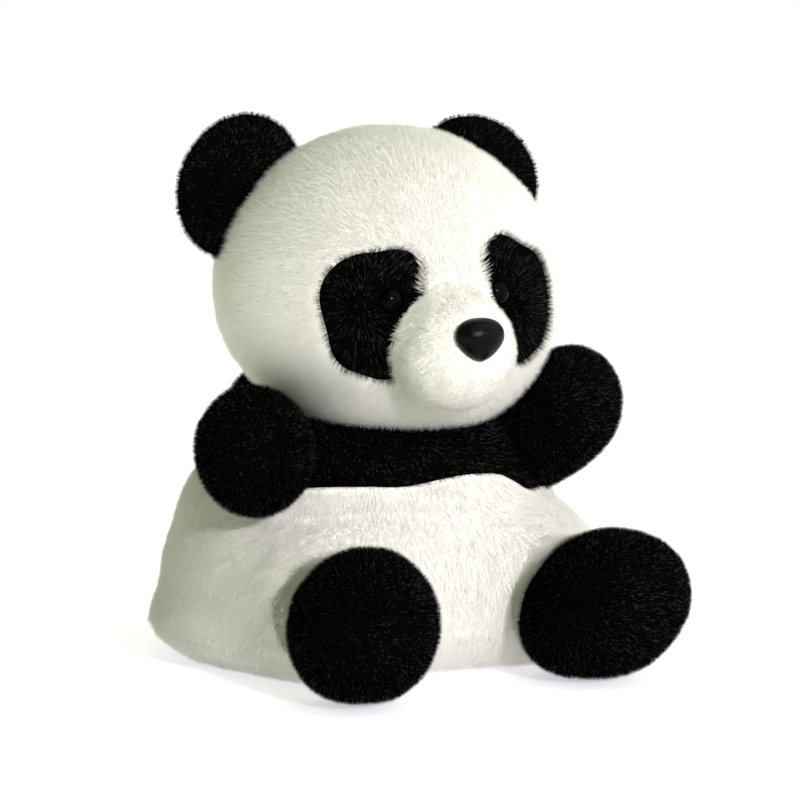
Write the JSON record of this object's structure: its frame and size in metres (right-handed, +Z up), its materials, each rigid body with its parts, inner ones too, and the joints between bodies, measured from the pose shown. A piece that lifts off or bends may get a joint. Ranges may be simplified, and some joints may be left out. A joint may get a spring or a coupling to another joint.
{
  "type": "plush panda",
  "caption": "Palm-size seated bean-bag panda in long-pile plush with plastic eyes and nose, soft turning head, and arms, legs and ears that flex on their seams.",
  "frame": {"origin": "centre of the flat base panel, on the surface the toy sits on", "axes": "+Z up, -Y the way the toy faces, +X to its own left"},
  "size_m": [0.1112, 0.1277, 0.1274],
  "materials": {
    "white_plush": "long soft pile, brushed, creamy white",
    "muzzle_plush": "short matted pile, creamy white",
    "black_plush": "soft dense pile, black with faint glints",
    "fibre_filling": "loose polyester fibre",
    "eye_plastic": "polished black",
    "nose_plastic": "satin black, fine moulded grain",
    "washer_plastic": "plain moulded",
    "pellets": "small round pellets",
    "lining": "plain woven",
    "label_tape": "blank satin tape"
  },
  "bodies": {
    "torso": {"base_panel": "white_plush", "belly_panel": "white_plush", "back_panel_left": "white_plush", "back_panel_right": "white_plush", "chest_band": "black_plush", "shoulder_yoke": "black_plush", "torso_stuffing": "fibre_filling", "pellet_bag": "lining", "pellet_fill": "pellets", "tail_cover": "white_plush", "tail_stuffing": "fibre_filling", "care_label": "label_tape"},
    "neck": {"neck_stuffing": "fibre_filling"},
    "head": {"face_panel": "white_plush", "head_back_left": "white_plush", "head_back_right": "white_plush", "head_stuffing": "fibre_filling", "muzzle_cover": "muzzle_plush", "muzzle_stuffing": "fibre_filling", "eye_patch_left": "black_plush", "eye_patch_right": "black_plush", "eye_left": "eye_plastic", "eye_right": "eye_plastic", "eye_washer_left": "washer_plastic", "eye_washer_right": "washer_plastic", "nose": "nose_plastic", "nose_washer": "washer_plastic"},
    "ear_left": {"ear_front_left": "black_plush", "ear_back_left": "black_plush"},
    "arm_left": {"arm_cover_left": "black_plush", "arm_stuffing_left": "fibre_filling"},
    "leg_left": {"thigh_cover_left": "white_plush", "foot_cover_left": "black_plush", "leg_stuffing_left": "fibre_filling"},
    "ear_right": {"ear_front_right": "black_plush", "ear_back_right": "black_plush"},
    "arm_right": {"arm_cover_right": "black_plush", "arm_stuffing_right": "fibre_filling"},
    "leg_right": {"thigh_cover_right": "white_plush", "foot_cover_right": "black_plush", "leg_stuffing_right": "fibre_filling"}
  },
  "joints": [
    {"name": "neck_turn", "type": "hinge", "parent": "torso", "child": "neck", "pos_m": [0, -0.001, 0.057], "axis": [0, 0, 1], "range_deg": [-25, 25], "stiffness_Nm_per_rad": 0.12},
    {"name": "neck_nod", "type": "hinge", "parent": "neck", "child": "head", "pos_m": [0, -0.001, 0.057], "axis": [1, 0, 0], "range_deg": [-10, 7], "stiffness_Nm_per_rad": 0.2},
    {"name": "ear_fold_left", "type": "hinge", "parent": "head", "child": "ear_left", "pos_m": [0.0334, 0.001, 0.114], "axis": [0.7071, 0, -0.7071], "range_deg": [-25, 25], "stiffness_Nm_per_rad": 0.02},
    {"name": "arm_swing_left", "type": "hinge", "parent": "torso", "child": "arm_left", "pos_m": [0.029, -0.007, 0.044], "axis": [0, 0, 1], "range_deg": [-5, 40], "stiffness_Nm_per_rad": 0.03},
    {"name": "leg_swing_left", "type": "hinge", "parent": "torso", "child": "leg_left", "pos_m": [0.0255, -0.033, 0.017], "axis": [0, 0, 1], "range_deg": [-5, 25], "stiffness_Nm_per_rad": 0.05},
    {"name": "ear_fold_right", "type": "hinge", "parent": "head", "child": "ear_right", "pos_m": [-0.0334, 0.001, 0.114], "axis": [0.7071, 0, 0.7071], "range_deg": [-25, 25], "stiffness_Nm_per_rad": 0.02},
    {"name": "arm_swing_right", "type": "hinge", "parent": "torso", "child": "arm_right", "pos_m": [-0.029, -0.007, 0.044], "axis": [0, 0, -1], "range_deg": [-5, 40], "stiffness_Nm_per_rad": 0.03},
    {"name": "leg_swing_right", "type": "hinge", "parent": "torso", "child": "leg_right", "pos_m": [-0.0255, -0.033, 0.017], "axis": [0, 0, -1], "range_deg": [-5, 25], "stiffness_Nm_per_rad": 0.05}
  ]
}
